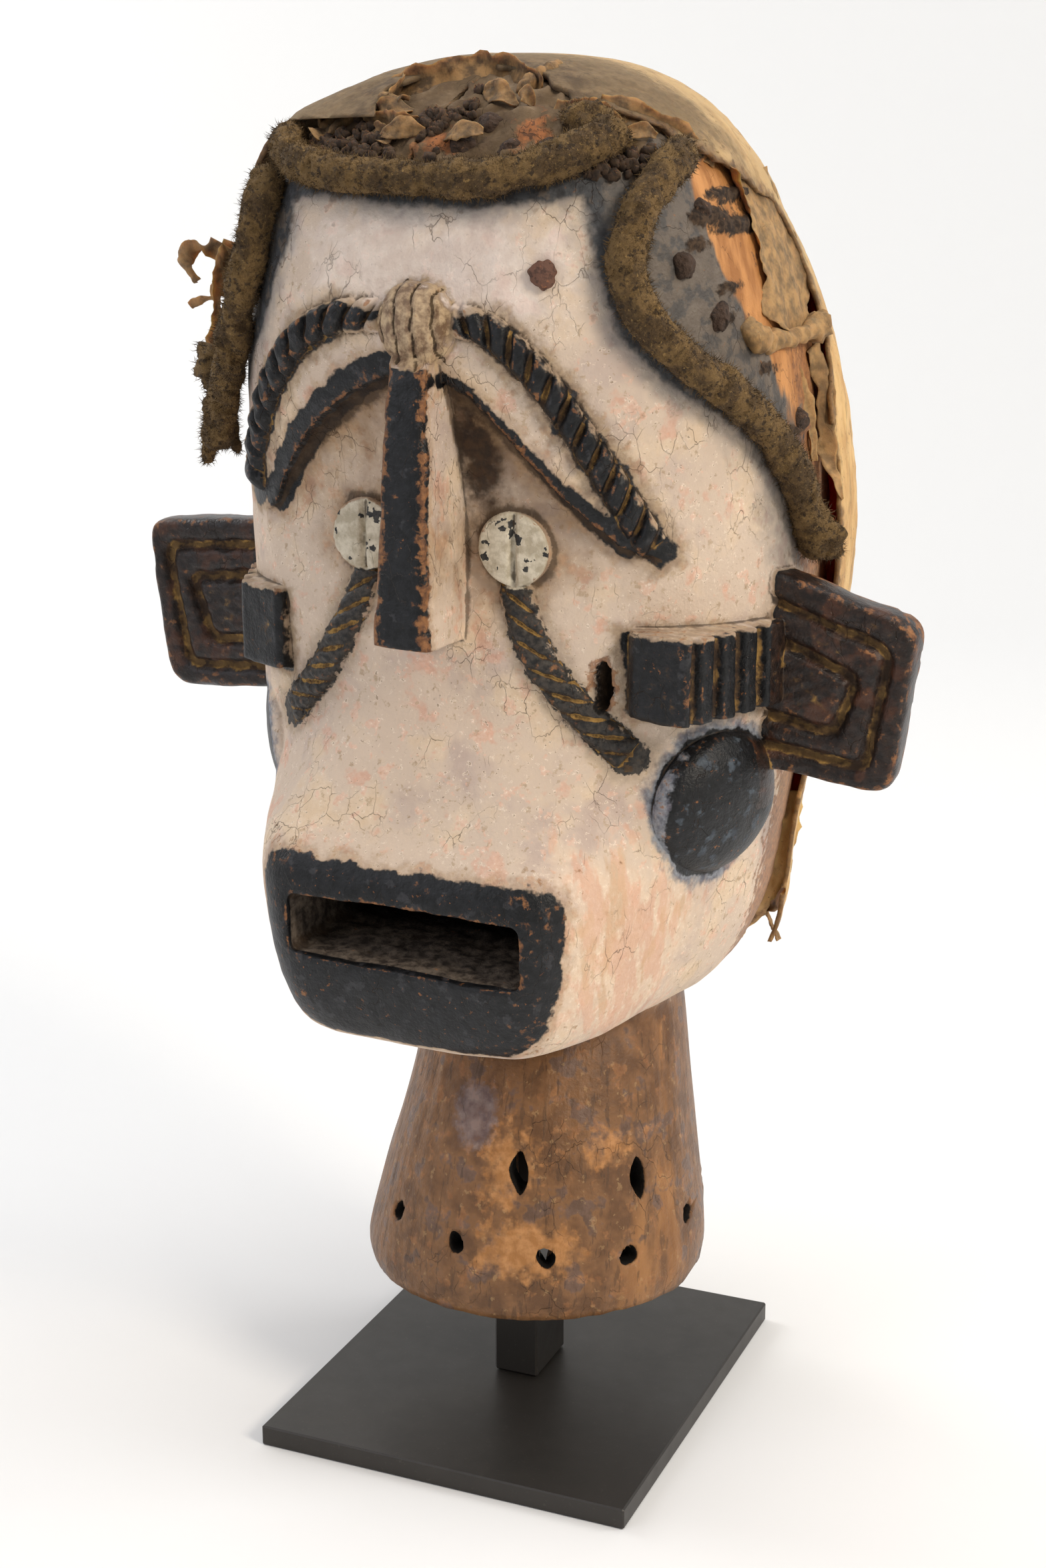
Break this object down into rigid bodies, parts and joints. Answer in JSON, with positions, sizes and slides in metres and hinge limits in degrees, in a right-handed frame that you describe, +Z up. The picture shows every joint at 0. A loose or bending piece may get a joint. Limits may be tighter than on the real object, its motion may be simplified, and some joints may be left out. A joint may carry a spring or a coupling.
{
  "type": "carved crest mask on a stand",
  "caption": "Carved and painted wooden crest mask with an open neck, squared ears and a cover of dried hide, standing by a square post on a flat steel plate.",
  "frame": {"origin": "centre of the stand plate's underside", "axes": "+Z up, the face looks towards -Y, the right ear in the picture is towards +X"},
  "size_m": [0.2996, 0.2391, 0.5092],
  "materials": {
    "painted_wood": "matt earth paint in cream and blue-black, worn to brown wood",
    "dried_hide": "stiff and dry, tan with torn brown edges",
    "rolled_skin": "felted hair, olive brown",
    "peg_wood": "dark, broken off",
    "rusty_iron": "rusted",
    "blackened_steel": "matt black-brown"
  },
  "bodies": {
    "root": {"carved_head": "painted_wood", "hide_cover": "dried_hide", "hair_roll_front": "rolled_skin", "hair_roll_right": "rolled_skin", "hair_roll_left": "rolled_skin", "skin_peg_1": "peg_wood", "skin_peg_2": "peg_wood", "skin_peg_3": "peg_wood", "skin_peg_4": "peg_wood", "skin_peg_5": "peg_wood", "skin_peg_6": "peg_wood", "skin_peg_7": "peg_wood", "skin_peg_8": "peg_wood", "forehead_nail": "rusty_iron", "stand_plate": "blackened_steel", "stand_post": "blackened_steel"}
  },
  "joints": []
}
